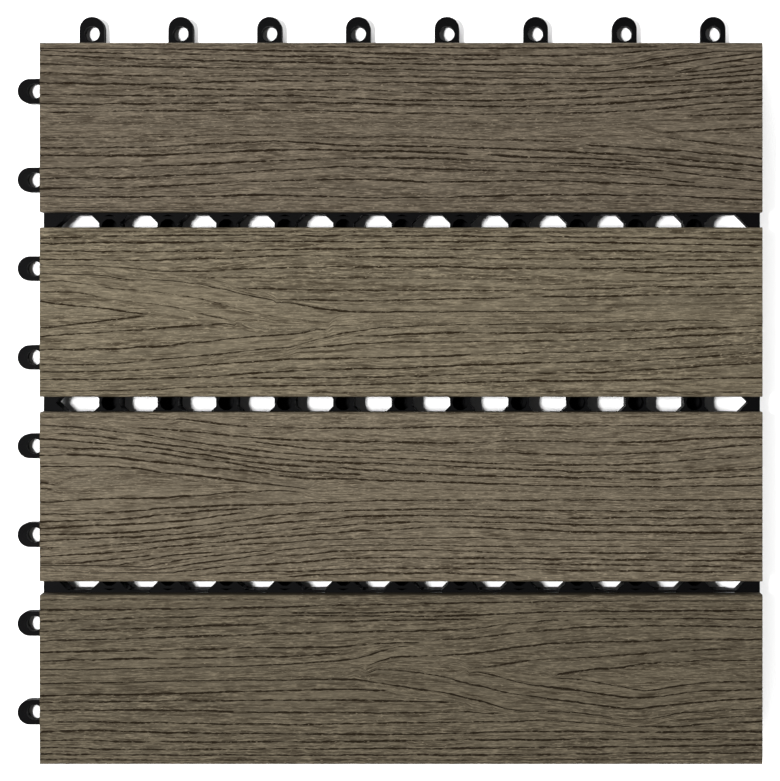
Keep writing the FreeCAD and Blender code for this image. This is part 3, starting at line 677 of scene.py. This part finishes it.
def make_base():
    """The moulded base: its CAD shape with slits beside the sockets and a ring on each socket's floor."""
    activate(NODES["grid_base"])
    bpy.ops.object.duplicate()
    base = bpy.context.object
    bpy.ops.mesh.customdata_custom_splitnormals_clear()
    bpy.ops.object.parent_clear(type="CLEAR_KEEP_TRANSFORM")
    base.name = "grid_base_moulding"
    settle(base)
    bpy.ops.object.mode_set(mode="EDIT")
    bpy.ops.mesh.select_all(action="SELECT")
    bpy.ops.mesh.remove_doubles(threshold=MERGE_DISTANCE)
    bpy.ops.object.mode_set(mode="OBJECT")
    low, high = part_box("grid_base")
    slits = []
    for x, y in socket_centres():
        for side in (-1.0, 1.0):
            place = (x, y + side * SLIT_OFFSET, (low.z + high.z) / 2)
            turn = 0.0 if side > 0 else math.pi
            slits.append(prism(3, place, SLIT_LENGTH / TRIANGLE_WIDTH, SLIT_WIDTH / TRIANGLE_HEIGHT,
                               SLIT_CUTTER_HEIGHT, turn))
    cut_away(base, joined(slits, "slits"))
    rings = []
    for x, y in socket_centres():
        place = (x, y, low.z + SOCKET_FLOOR + RING_HEIGHT / 2)
        ring = prism(RING_SIDES, place, 2 * RING_OUTER, 2 * RING_OUTER, RING_HEIGHT * 1.1)
        bore = prism(RING_SIDES, place, 2 * RING_INNER, 2 * RING_INNER, RING_HEIGHT * 3)
        cut_away(ring, bore)
        rings.append(ring)
    base = joined([base, *rings], "grid_base_moulding")
    bpy.ops.object.shade_smooth_by_angle(angle=math.radians(30.0))
    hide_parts("grid_base")
    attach(base, "root")
    return base


def make_screw(name):
    """A pan-head screw with a cross recess, its head below."""
    low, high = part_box(name)
    middle = (low + high) / 2
    place = (middle.x, middle.y, low.z + SCREW_HEAD_HEIGHT / 2)
    head = prism(HEAD_SIDES, place, SCREW_HEAD, SCREW_HEAD, SCREW_HEAD_HEIGHT)
    bpy.ops.object.mode_set(mode="EDIT")
    bpy.ops.mesh.select_all(action="DESELECT")
    bpy.ops.object.mode_set(mode="OBJECT")
    for edge in head.data.edges:
        ends = [head.data.vertices[index].co.z for index in edge.vertices]
        edge.select = max(ends) < low.z + NEAR
    bpy.ops.object.mode_set(mode="EDIT")
    bpy.ops.mesh.bevel(offset=HEAD_ROUNDING, segments=4, affect="EDGES")
    bpy.ops.object.mode_set(mode="OBJECT")
    for length, width in ((RECESS_LENGTH, RECESS_WIDTH), (RECESS_WIDTH, RECESS_LENGTH)):
        deselect()
        bpy.ops.mesh.primitive_cube_add(size=1.0, location=(middle.x, middle.y, low.z))
        bar = bpy.context.object
        bar.scale = (length, width, 2 * RECESS_DEPTH)
        settle(bar)
        cut_away(head, bar)
    bottom = low.z + SCREW_HEAD_HEIGHT * (1.0 - HEAD_OVERLAP)
    place = (middle.x, middle.y, (bottom + high.z) / 2)
    shank = prism(SHANK_SIDES, place, SCREW_SHANK, SCREW_SHANK, high.z - bottom)
    screw = joined([head, shank], name + "_pan_head")
    bpy.ops.object.shade_smooth_by_angle(angle=math.radians(35.0))
    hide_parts(name)
    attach(screw, "root")
    return screw


# The composite's patterns along the grain: patches per metre along it and per millimetre across it, then
# each pattern's own shift, its detail and its roughness.
GRAIN_PATTERNS = {
    "band": (12.0, 0.22, 0.0, 2.0, 0.5),
    "streak": (34.0, 1.10, 5.0, 2.0, 0.6),
    "fibre": (120.0, 2.2, 9.0, 3.0, 0.65),
    "fleck": (420.0, 2.6, 14.0, 2.0, 0.6),
    "dash": (62.0, 1.75, 21.0, 1.0, 0.5),
    "speck": (560.0, 2.4, 27.0, 1.0, 0.5),
    "ragged": (760.0, 1.4, 43.0, 2.0, 0.6),
}
# Where lines lie far apart, these take over, with patches per metre both ways.
PLAIN_PATTERNS = {
    "fibre": (110.0, 2300.0, 31.0, 3.0, 0.65),
    "fleck": (420.0, 2700.0, 35.0, 2.0, 0.6),
    "speck": (560.0, 2600.0, 39.0, 1.0, 0.5),
}

# Shares of a slat's own tone, and how much is added to the palest ones. The sides' plainer look begins a
# little below the top.
BAND_TONES = (0.88, 1.12)
SIDE_TONES = (0.66, 1.16)
FIBRE_SHADE = (0.35, 0.31, 0.26)
# The cuts' painted shade: a darker tone laid into them where shadow falls.
GROOVE_PAINTED_SHADE = (0.14, 0.10, 0.05)
PALE_FIBRE = (1.95, 0.008)
# The burrs' pale tone is partly ripped pale fibre and partly a painted highlight on the raised lips; the
# pale specks use it too.
PALE_BURR_AND_HIGHLIGHT = (2.1, 0.012)
SIDE_BEGINS = 0.0010
SIDE_SHARPNESS = 1400.0
SLAT_SHINE = 0.11


def tinted(tone, share, added=0.0):
    return tuple(share * channel + added for channel in tone)


def shaded(tone, shares):
    return tuple(share * channel for share, channel in zip(shares, tone))


def composite_finish(name, seed, tone):
    """Wood composite: fibres that follow the grain, painted shade in the cuts, pale burrs that are partly
    ripped fibre and partly painted highlight, and flecks.
    """
    finish = Finish(name)
    here = finish.place()
    along = finish.node("ShaderNodeSeparateXYZ", {}, [here], output=0)
    level = finish.node("ShaderNodeSeparateXYZ", {}, [here], output=1)
    height = finish.node("ShaderNodeSeparateXYZ", {}, [here], output=2)
    across = finish.attribute("grain_fibre")
    wide = finish.attribute("grain_wide")
    cut = finish.attribute("grain_cut")
    burr = finish.attribute("grain_burr")

    def pattern(table, key, sideways):
        lengthwise, crosswise, shift, detail, roughness = table[key]
        where = finish.point(along * lengthwise, sideways * crosswise, seed + shift)
        return finish.noise(where, 1.0, detail, roughness)

    def spaced(key):
        """A pattern that follows the grain, or lies straight where the lines are far apart."""
        following = pattern(GRAIN_PATTERNS, key, across)
        return following + wide * (pattern(PLAIN_PATTERNS, key, level) - following)

    band = pattern(GRAIN_PATTERNS, "band", across)
    streak = pattern(GRAIN_PATTERNS, "streak", across)
    dash = pattern(GRAIN_PATTERNS, "dash", across)
    ragged = pattern(GRAIN_PATTERNS, "ragged", across)
    fibre = spaced("fibre")
    fleck = spaced("fleck")
    speck = spaced("speck")

    shade = shaded(tone, FIBRE_SHADE)
    torn_and_highlight = tinted(tone, *PALE_BURR_AND_HIGHLIGHT)
    banding = finish.ramp(band, [(0.36, 0.0), (0.64, 1.0)])
    dark_fibre = finish.ramp(streak * 0.42 + fibre * 0.58, [(0.38, 0.95), (0.50, 0.14), (0.53, 0.0)])
    dark_dash = finish.ramp(dash, [(0.29, 0.85), (0.37, 0.0)])
    pale_fibre = finish.ramp(fibre * 0.5 + fleck * 0.5, [(0.493, 0.0), (0.643, 0.92)])
    # Where the grain is cut, painted shade darkens it, broken up along its length.
    groove_painted_shade = (cut * (ragged * 3.6 - 0.35)).clamp()
    pale_speck = finish.ramp(speck, [(0.68, 0.0), (0.75, 0.85)])
    colour = finish.blend(banding, tinted(tone, BAND_TONES[0]), tinted(tone, BAND_TONES[1]))
    colour = finish.blend(dark_fibre, colour, shade)
    colour = finish.blend(dark_dash, colour, shade)
    colour = finish.blend(pale_fibre, colour, tinted(tone, *PALE_FIBRE))
    colour = finish.blend(groove_painted_shade, colour, shaded(tone, GROOVE_PAINTED_SHADE))
    # Pale burrs: partly ripped fibre, partly painted highlight.
    colour = finish.blend((burr * 0.85).clamp(), colour, torn_and_highlight)
    colour = finish.blend(pale_speck, colour, torn_and_highlight)

    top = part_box("deck_slat_1")[1].z
    on_side = ((top - SIDE_BEGINS - height) * SIDE_SHARPNESS).clamp()
    mottle = finish.noise(finish.place((60.0, 800.0, 800.0), (seed, seed, 0.0)), 1.0, 3.0, 0.6)
    mottle = finish.ramp(mottle, [(0.36, 0.0), (0.64, 1.0)])
    side = finish.blend(mottle, tinted(tone, SIDE_TONES[0]), tinted(tone, SIDE_TONES[1]))
    colour = finish.blend(on_side, colour, side)
    finish.set(Base_Color=colour, Roughness=0.70 + 0.14 * (1.0 - streak), Metallic=0.0,
               Specular_IOR_Level=SLAT_SHINE)
    finish.bump(streak * 0.4 + fibre * 0.6, 0.00030, 0.8)
    return finish.data


# The plastic's, the steel's and the floor's darker and paler tones.
PLASTIC_TONES = ((0.0010, 0.0010, 0.0012), (0.0022, 0.0022, 0.0025))
PLASTIC_SHINE = 0.03
STEEL_TONES = ((0.50, 0.50, 0.48), (0.66, 0.65, 0.61))
FLOOR_TONES = ((0.93, 0.93, 0.93), (0.95, 0.95, 0.95))
FLOOR_SIDE = 8.0


def plastic_finish():
    """Black moulded plastic with a faint mould texture."""
    finish = Finish("base_plastic")
    here = finish.place()
    fine = finish.noise(here, 1800.0, 2.0)
    broad = finish.noise(here, 60.0, 2.0)
    finish.set(Base_Color=finish.blend(broad, *PLASTIC_TONES), Roughness=0.50 + 0.14 * broad, Metallic=0.0,
               Specular_IOR_Level=PLASTIC_SHINE)
    finish.bump(fine, 0.00004, 0.5)
    return finish.data


def steel_finish():
    """Zinc-plated steel, a little uneven."""
    finish = Finish("screw_steel")
    here = finish.place()
    fine = finish.noise(here, 900.0, 2.0)
    colour = finish.blend(fine, *STEEL_TONES)
    finish.set(Base_Color=colour, Roughness=0.28 + 0.2 * fine, Metallic=1.0)
    finish.bump(fine, 0.00002, 0.4)
    return finish.data


def clothe(piece, material):
    piece.data.materials.clear()
    piece.data.materials.append(material)


def floor_finish():
    finish = Finish("floor_white")
    here = finish.place()
    tint = finish.blend(finish.noise(here, 8.0), *FLOOR_TONES)
    finish.set(Base_Color=tint, Roughness=0.9)
    return finish.data


def make_stage():
    """The pale floor."""
    deselect()
    bpy.ops.mesh.primitive_plane_add(size=FLOOR_SIDE, location=(0.0, 0.0, 0.0))
    floor = bpy.context.object
    floor.name = "floor"
    clothe(floor, floor_finish())
    return floor


def add_light(name, place, power, size, height):
    """A soft box aimed at the middle of the tile."""
    data = bpy.data.lights.new(name, "AREA")
    data.energy = power
    data.shape = "ELLIPSE"
    data.size = size
    data.size_y = height
    lamp = bpy.data.objects.new(name, data)
    bpy.context.scene.collection.objects.link(lamp)
    lamp.location = place
    lamp.rotation_euler = (-Vector(place)).to_track_quat("-Z", "Y").to_euler()
    return lamp


# The lights: places and sizes in metres, powers in watts.
KEY_PLACE = (-0.58, 0.03, 1.60)
KEY_POWER = 37.0
KEY_SIZE = (0.34, 0.20)
LOW_LIGHTS = {"low_left": (-1, 0), "low_right": (1, 0), "low_back": (0, 1), "low_front": (0, -1)}
LOW_REACH = 1.7
LOW_HEIGHT = 0.85
LOW_POWER = 30.0
LOW_SIZE = (1.6, 0.6)
SURROUND = 0.20


def make_lights(floor):
    """A key from the left, a faint surround, and four low soft boxes for the floor alone.

    The low ones keep the floor white round the tile and leave the tile to the key.
    """
    add_light("key_left", KEY_PLACE, KEY_POWER, *KEY_SIZE)
    for_floor = bpy.data.collections.new("floor_lit_white")
    for_floor.objects.link(floor)
    for name, (x, y) in LOW_LIGHTS.items():
        lamp = add_light(name, (LOW_REACH * x, LOW_REACH * y, LOW_HEIGHT), LOW_POWER, *LOW_SIZE)
        lamp.light_linking.receiver_collection = for_floor
    world = bpy.data.worlds.new("studio")
    bpy.context.scene.world = world
    world.use_nodes = True
    backdrop = world.node_tree.nodes["Background"]
    backdrop.inputs["Color"].default_value = (1.0, 1.0, 1.0, 1.0)
    backdrop.inputs["Strength"].default_value = SURROUND
    bpy.context.scene.view_settings.view_transform = "Standard"


def make_camera():
    """Straight down, above the point that the photograph was taken from, framed by a small shift."""
    low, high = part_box("deck_slat_1")
    px_per_m = TILE_SIDE_PX / (high.x - low.x)
    focal_px = px_per_m * CAMERA_HEIGHT
    x = (CAMERA_ABOVE_PX[0] - TILE_CENTRE_PX[0]) / px_per_m
    y = -(CAMERA_ABOVE_PX[1] - TILE_CENTRE_PX[1]) / px_per_m
    data = bpy.data.cameras.new("camera")
    widest = max(PHOTO_WIDTH, PHOTO_HEIGHT)
    data.sensor_width = SENSOR_MM
    data.lens = SENSOR_MM * focal_px / widest
    data.shift_x = -(CAMERA_ABOVE_PX[0] - PHOTO_WIDTH / 2) / widest
    data.shift_y = (CAMERA_ABOVE_PX[1] - PHOTO_HEIGHT / 2) / widest
    camera = bpy.data.objects.new("camera", data)
    bpy.context.scene.collection.objects.link(camera)
    camera.location = (x, y, high.z + CAMERA_HEIGHT)
    camera.rotation_euler = (0.0, 0.0, 0.0)
    bpy.context.scene.camera = camera


# Each slat's own tone, from the upper one to the lower.
SLAT_TONES = {
    "deck_slat_1": (0.0975, 0.0795, 0.0560),
    "deck_slat_2": (0.1200, 0.1000, 0.0670),
    "deck_slat_3": (0.1150, 0.0950, 0.0655),
    "deck_slat_4": (0.0870, 0.0720, 0.0480),
}

for order, slat_name in enumerate(SLATS, start=1):
    board = make_slat(slat_name, 40 * order)
    clothe(board, composite_finish("composite_%d" % order, order * 3.7, SLAT_TONES[slat_name]))
clothe(make_base(), plastic_finish())
steel = steel_finish()
for screw_name in SCREWS:
    clothe(make_screw(screw_name), steel)

make_lights(make_stage())
make_camera()
